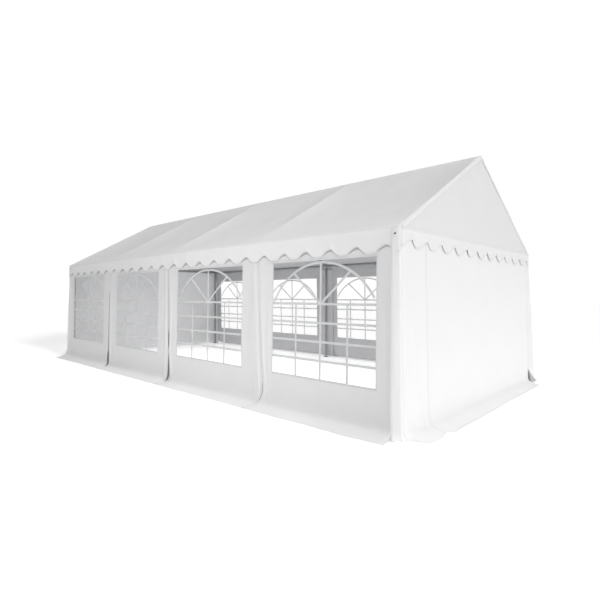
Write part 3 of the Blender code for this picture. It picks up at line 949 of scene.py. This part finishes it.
def rakeHems():
    # the cover's ends, turned down: the left half stands off at its foot, the right one at its head
    profile = [row for row in coverProfile() if row[3] == 0]
    x, z = (np.array([row[k] for row in profile])[:, None] for k in range(2))
    share = np.linspace(0, 1, 5)[None, :]
    lean = np.clip(x / 0.1, -1, 1)
    off = 0.0025 + 0.006 * np.where(lean < 0, share ** 1.3, (1 - share) ** 0.8 * np.minimum(share * 8, 1))
    narrowed = np.clip((tent["halfWidth"] - np.abs(x)) / 0.05, 0.25, 1)
    down = cover["rakeHem"] * share / math.cos(math.atan(slope)) * narrowed
    points = stacked(x, -tent["halfLength"] - off, z - 0.0004 - down)
    front = gridObject("rake_hem_front", points, stacked(x, down), outFront, (coverCloth, shadedCoverInside))
    return joinAll([front, turnedCopy(front, "rake_hem_rear")], "cover_rake_hems")


coverSheet()
print("roof cover drawn over the frame")


# Gables

gable = {
    "rows": 46,
    "railBulge": 0.006,
    "hollow": 0.004,
    "height": 1.295,       # flat, from the ridge to the points
    "area": 2.93,
}


def gableTop(x):
    return tent["ridge"] - slope * np.abs(x) - 0.0053


def gableSurface(x, share):
    # share runs from the top edge under the cover, 0, down to the hem, 1
    x, share = asGrids(x, share)
    top = gableTop(x)
    hem = scallop(x + tent["halfWidth"], valance["endBottom"])
    z = top - (top - hem) * share
    eaves = tent["eavesAxis"]
    drop = unit((eaves - z) / np.maximum(eaves - hem, 0.01))
    out, drag = pleats(x + tent["halfWidth"], drop, *valance["endPleats"])
    sides = unit((tent["wallX"] - np.abs(x)) / 0.12)
    inside = unit((top - z) / 0.1)
    above = unit((z - eaves) / 0.12) * inside
    bulge = gable["railBulge"] * hump(z - eaves + 0.004, 0.022) * unit((top - z) / 0.02)
    crease = 0.003 * softNoise(x * 1.1 + z * 0.7, z, 0.28, 52) * above
    y = -tent["halfLength"] + 0.0008 - out * sides - bulge * sides + gable["hollow"] * above + crease
    return stacked(x + drag * sides, y, z)


def gableByHeight(x, v):
    # v is the height above the hem
    hem = scallop(np.asarray(x) + tent["halfWidth"], valance["endBottom"])
    return gableSurface(x, 1 - v / np.maximum(gableTop(x) - hem, 0.05))


def gableCurls():
    # the gable's turned hems take the same painted shade grey
    x = np.arange(-1.95, 1.95, 0.0075)
    number, near = nearestCusp(x + tent["halfWidth"])
    strength = np.array(valance["endStrengths"])[np.clip(number, 0, 11)]
    widths = np.where(near > 0, unit(1 - (np.abs(near - 0.06) / 0.085) ** 2), 0)
    widths = widths * valance["endCurl"] * strength
    edge = gableByHeight(x, np.full(x.shape, 0.002))
    return curlStrip("gable_curls_front", x, edge, widths, 1, 0.2, outFront)


def gableSheet():
    reach = tent["wallX"]
    columns = cuspColumns(2 * tent["halfWidth"]) - tent["halfWidth"]
    columns[0], columns[-1] = -reach, reach
    rows = 1 - (1 - np.linspace(0, 1, gable["rows"] + 1)) ** 1.5
    x, share = crossed(columns, rows)
    points = gableSurface(x, share)
    piece = gridObject("gable_cloth_front", points, stacked(x, points[..., 2]), outFront,
                       (shadedGableCloth, shadedCoverInside))
    # below the end rail the gable takes the roof cloth, and the triangle above keeps its darker copy:
    # painted shade
    repaintBelow(piece, coverCloth, tent["eavesAxis"] - 0.02)
    tapes = [(hemPath(columns), *valance["hem"])]
    hems = ribbons("gable_tape_front", gableByHeight, 1, outFront, tapes, hemTape)
    front = [piece, hems, gableCurls()]
    kinds = ("gable_cloth", "gable_tape", "gable_curls")
    rear = [turnedCopy(part, f"{kind}_rear") for part, kind in zip(front, kinds)]
    for (cloth, hem, curls), word in ((front, "front"), (rear, "rear")):
        settle(cloth, f"gable_{word}")
        settle(hem)
        settle(curls)


gableSheet()
print("gables closed")


# End walls and corner strips

endWall = {
    "stripEdge": -1.48,
    "leftEdge": -1.50,       # tucked behind the corner strip
    "rightEdge": 1.9254,
    "cornerLap": 0.088,
    "cell": 0.024,
    "edgeCell": 0.010,
    "cornerRound": 0.020,
    "straight": 0.75,
    "stepBack": (-1.4795, -1.4755),    # the wall steps back behind the strip between these
    "coarse": (-1.30, 1.72),           # its cells are larger between these
}
# how far the hem lies from where the cloth stands: s is metres from the corner, x is across the front
stripHem = {
    "s": (-0.10, -0.03, 0.0, 0.035, 0.07, 0.12, 0.27, 0.5155),
    "aside": (-0.098, -0.0283, 0.011, 0.0337, 0.025, 0.0, 0.002, 0.038),
    "forward": (0.054, 0.0363, 0.049, 0.1053, 0.190, 0.235, 0.251, 0.195),
}
wallHem = {
    "x": (-1.50, -1.45, -1.40, -1.30, 0.0, 1.7854, 1.9254),
    "aside": (0.03, 0.025, 0.015, 0.01, 0.0, 0.0, -0.10),
    "forward": (0.169, 0.239, 0.266, 0.255, 0.23, 0.21, 0.19),
}
# the end wall's right edge stands open by this much at each height
openEdge = {"z": (0.0, 0.04, 0.12, 0.40, 1.2, 2.0), "by": (0.004, 0.020, 0.042, 0.011, 0.007, 0.003)}


def endRipple(x, v):
    down = growDown(v)
    broad = 0.0028 * softNoise(x, v * 0.5, 0.5, 61) * down
    fine = 0.0009 * softNoise(x, v, 0.13, 62) * down
    hem = 0.008 * softNoise(x, v * 0, 0.35, 63) * skirtShare(v)
    return np.maximum(broad + fine + hem, -0.003)


def endSurface(x, v):
    x, v = asGrids(x, v)
    straight = endWall["straight"] + 0.2 * hump(x - endWall["rightEdge"], 0.12)
    z = hangHeight(v, straight)
    aside = hangOut(v, np.interp(x, wallHem["x"], wallHem["aside"]), 0, straight)
    forward = hangOut(v, np.interp(x, wallHem["x"], wallHem["forward"]), straight=straight)
    forward = forward + endRipple(x, v)
    behindStrip = 0.0022 * unit((endWall["stepBack"][1] - x) / 0.004)
    tuck = 0.006 * hump(x - endWall["rightEdge"], 0.018) * growDown(v, 1.9, 0.2)
    aside = aside - np.interp(z, openEdge["z"], openEdge["by"]) * unit((x - 1.72) / 0.2)
    return stacked(x + aside, -tent["wallY"] - forward + tuck + behindStrip, z)


def stripSurface(s, v):
    # s is measured from the corner: along the side where it is negative, along the front where positive
    s, v = asGrids(s, v)
    x, y = np.zeros(s.shape), np.zeros(s.shape)
    straight = np.interp(s, (-0.1, 0.1, 0.38, 0.5155), (hang["straight"], 0.5, 0.6, endWall["straight"]))
    offsets = np.linspace(-endWall["cornerRound"], endWall["cornerRound"], 9)
    for offset in offsets:        # the corner is rounded where it turns round the leg
        spot = s + offset
        sideways = np.interp(spot, (-0.065, 0.0, 0.12), (1.0, 0.5, 0.0))
        bow = hang["bow"] * np.stack([-sideways, unit(1 + spot / 0.1)])
        aside = hangOut(v, np.interp(spot, stripHem["s"], stripHem["aside"]), bow[0], straight)
        forward = hangOut(v, np.interp(spot, stripHem["s"], stripHem["forward"]), bow[1], straight)
        x += (-tent["wallX"] + np.maximum(spot, 0) + aside) / len(offsets)
        y += (-tent["wallY"] + np.maximum(-spot, 0) - forward) / len(offsets)
    down = growDown(v)
    skirt = skirtShare(v)
    onSide, onFront = unit(-s / 0.04), unit(s / 0.05)
    foldLine = 0.18 + (1.37 - v) * 0.115
    ridge = 0.012 * hump(s - foldLine, 0.016) * growDown(v, 1.5)
    second = 0.007 * hump(s - 0.060, 0.015) * down
    groove = 0.005 * hump(s - 0.004, 0.008) * growDown(v, 1.9, 0.2)
    lifted = 0.006 * hump(s + endWall["cornerLap"], 0.020) * (0.4 + 0.6 * down)
    tilt = 0.009 * unit(-s / endWall["cornerLap"]) * (0.4 + 0.6 * down)
    sideCover = (sideRipple(np.abs(s) + 0.0043, v) * (1 - skirt) + 0.005) * onSide + tilt
    x = x - lifted - sideCover + groove
    y = y - endRipple(s - tent["wallX"], v) * onFront - (ridge + second) * onFront + groove
    return stacked(x, y, hangHeight(v, straight))


def cornerTuck():
    # the side panel's lap folds under at the foot of the right corner; the patch is painted shade grey
    share, across = crossed(np.linspace(0, 1, 7), np.linspace(0, 1, 7))
    inner = stacked(1.915 - 0.055 * share, -4.028 - 0.042 * share, 0.190 - 0.186 * share)
    outer = stacked(1.925 + 0.175 * share, -4.029 - 0.056 * share, 0.190 - 0.186 * share ** 0.8)
    points = inner * (1 - across[..., None]) + outer * across[..., None]
    return gridObject("corner_tuck_front", points, stacked(share * 0.2, across * 0.2), outFront,
                      (shadeGreyHem,), thickness=tape["thickness"])


def buildEnds():
    left, right, cell = endWall["leftEdge"], endWall["rightEdge"], endWall["edgeCell"]
    heights = [hang["top"], hang["fold"], hemV]
    low, high = endWall["coarse"]
    columns = stepsBySize(([left, *endWall["stepBack"], low], cell), ([low, high], endWall["cell"]),
                          ([high, right], cell))
    x, v = crossed(columns, steps(heights, endWall["cell"]))
    ends = (endCloth, endInside)
    wall = gridObject("end_wall_cloth_front", endSurface(x, v), stacked(x, v), outFront, ends)
    lap, stripLength = -endWall["cornerLap"], endWall["stripEdge"] + tent["wallX"] - tent["seam"]
    places = stepsBySize(([lap, -0.024], cell), ([-0.024, 0.036], 0.004), ([0.036, stripLength], 0.012))
    s, v = crossed(places, steps(heights, 0.016))
    strip = gridObject("corner_strip_cloth_front", stripSurface(s, v), stacked(s, v), (-0.3, -1, 0), ends)
    inset = tape["inset"]
    wallTapes = [uprightHem(right - inset), bottomHem(-1.46, right - 2 * inset)]
    wallTape = ribbons("end_wall_hems_front", endSurface, 1, outFront, wallTapes, hemTape)
    wallTape = joinAll([wallTape, cornerTuck()], "end_wall_hems_front")
    edges = ("side", outLeft, lap + inset), ("front", outFront, stripLength - inset)
    stripTapes = [ribbons(f"strip_tape_{word}", stripSurface, 1, outward, [uprightHem(place)], hemTape)
                  for word, outward, place in edges]
    stripTape = joinAll(stripTapes, "corner_strip_hems_front")
    kinds = (("end_wall", wall, wallTape, (right - left, hang["top"] - hemV)),
             ("corner_strip", strip, stripTape, (stripLength - lap, hang["top"] - hemV)))
    for kind, cloth, hem, flat in kinds:
        rear = turnedCopy(cloth, f"{kind}_cloth_rear"), turnedCopy(hem, f"{kind}_hems_rear")
        for word, pair in (("front", (cloth, hem)), ("rear", rear)):
            settle(pair[0], f"{kind}_{word}")
            settle(pair[1])


buildEnds()
print("end walls hung")


# Eyelets with elastic toggles at the corners of the valances

eyelet = {
    "fromEnd": 0.060,
    "height": 1.93,
    "ring": 0.0085,
    "wire": 0.0028,
    "ball": 0.0062,
}


def finishSolid(material):
    piece = bpy.context.active_object
    bpy.ops.object.transform_apply(location=True, rotation=True, scale=True)
    bpy.ops.object.shade_smooth()
    piece.data.materials.append(material)
    return piece


def buildEyelets():
    rings, balls, height = [], [], eyelet["height"]
    for side, end in ((-1, -1), (-1, 1), (1, -1), (1, 1)):
        x, y = side * (tent["halfWidth"] + 0.0022), end * (tent["halfLength"] - eyelet["fromEnd"])
        deselectAll()
        bpy.ops.mesh.primitive_torus_add(location=(x, y, height), rotation=(0, math.pi / 2, 0),
                                         major_radius=eyelet["ring"], minor_radius=eyelet["wire"],
                                         major_segments=32, minor_segments=10)
        rings.append(finishSolid(nickelRing))
        deselectAll()
        bpy.ops.mesh.primitive_uv_sphere_add(location=(x + side * 0.002, y, height), segments=24,
                                             ring_count=14, radius=eyelet["ball"])
        balls.append(finishSolid(blackRubber))
    for pieces, name in ((rings, "valance_eyelets"), (balls, "valance_toggles")):
        settle(joinAll(pieces, name))


buildEyelets()


# Steel frame: the imported tubes and connectors stay, and the legs, rafters, ridge tubes and rails take a
# galvanised finish

def finishSteel():
    for name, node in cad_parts.items():
        if name.startswith(("leg_", "rafters_", "ridge_tube_", "eaves_rail_", "end_rail_")):
            node.data.materials.clear()
            node.data.materials.append(zincSteel)


finishSteel()
print("steel finished")


# Floor, light and camera

stageLook = {
    "floorSize": 160.0,
    "floorGlow": 0.28,
    "ambient": 0.01,
    # strength, angle in degrees, way
    "key": (1.34, 9, (0.05, 0.90, -0.40)),
    "top": (1.82, 60, (0.05, 0.1, -1)),
    # power, size, place, way, spread in degrees
    "fill": (26, (2.4, 2.4), (-7.0, -2.1, 3.4), (5.0, 0.2, -2.7), 110),
    "inside": (50, (3.2, 7.2), (0, 0, 2.1), (0, 0.0001, -1), 100),
}


def buildFloor():
    deselectAll()
    bpy.ops.mesh.primitive_plane_add(size=stageLook["floorSize"], location=(0, 0, 0))
    floor = bpy.context.active_object
    floor.name = "floor"
    material, tree = newMaterial("pale_studio_floor")
    place = addNode(tree, "TexCoord").outputs["Object"]
    cloud = addNode(tree, "TexNoise", {"Scale": 0.4, "Detail": 3.0}, {"Vector": place})
    rough = addNode(tree, "MapRange", {"To Min": 0.85, "To Max": 0.95}, {"Value": cloud})
    shader = addNode(tree, "BsdfPrincipled", {
        "Base Color": fromHex("#f9f9f9"), "Specular IOR Level": 0.0,
        "Emission Color": (1, 1, 1, 1), "Emission Strength": stageLook["floorGlow"],
    }, {"Roughness": rough})
    addNode(tree, "OutputMaterial", links={"Surface": shader})
    floor.data.materials.append(material)


def turnedTo(way):
    # the turn that points a lamp along a direction
    aim = np.array(way, float)
    return math.acos(-aim[2] / np.linalg.norm(aim)), 0, math.atan2(-aim[0], aim[1])


def addLamp(name, kind, energy, way):
    light = bpy.data.lights.new(name, kind)
    light.energy = energy
    lamp = newObject(name, light)
    lamp.rotation_euler = turnedTo(way)
    lamp.visible_camera = False
    return light, lamp


def addSun(name, strength, angle, way):
    light, _ = addLamp(name, "SUN", strength, way)
    light.angle = math.radians(angle)


def addPanel(name, power, size, place, way, spread):
    light, lamp = addLamp(name, "AREA", power, way)
    light.shape = "RECTANGLE"
    light.size, light.size_y = size
    light.spread = math.radians(spread)
    lamp.location = place
    lamp.visible_glossy = False


def buildLights():
    world = bpy.data.worlds.new("white_studio")
    bpy.context.scene.world = world
    world.use_nodes = True
    tree = world.node_tree
    tree.nodes.clear()
    seen = addNode(tree, "LightPath").outputs["Is Camera Ray"]
    strength = addNode(tree, "MapRange", {"To Min": stageLook["ambient"], "To Max": 1.05}, {"Value": seen})
    sky = addNode(tree, "Background", {"Color": (1, 1, 1, 1)}, {"Strength": strength})
    addNode(tree, "OutputWorld", links={"Surface": sky})
    addSun("front_key", *stageLook["key"])
    addSun("top_light", *stageLook["top"])
    addPanel("side_fill", *stageLook["fill"])
    addPanel("inside_glow", *stageLook["inside"])


cameraLook = {
    "place": (-5.7184, -6.0441, 1.3475),
    "yaw": 0.7944,
    "focalPixels": 441.196,
    "imageSize": 600,
    "middle": (277.18, 295.51),     # the photograph's vanishing centre, in its pixels
}


def buildCamera():
    camera = bpy.data.cameras.new("photo_camera")
    size = cameraLook["imageSize"]
    camera.sensor_width = 36
    camera.lens = cameraLook["focalPixels"] / size * camera.sensor_width
    camera.shift_x = (size / 2 - cameraLook["middle"][0]) / size
    camera.shift_y = (cameraLook["middle"][1] - size / 2) / size
    camera.clip_end = 300
    holder = newObject("photo_camera", camera)
    holder.location = cameraLook["place"]
    holder.rotation_euler = (math.pi / 2, 0, -cameraLook["yaw"])
    bpy.context.scene.camera = holder


buildFloor()
buildLights()
buildCamera()
bpy.context.scene.view_settings.view_transform = "Standard"
bpy.context.scene.view_settings.look = "None"
print("stage set")
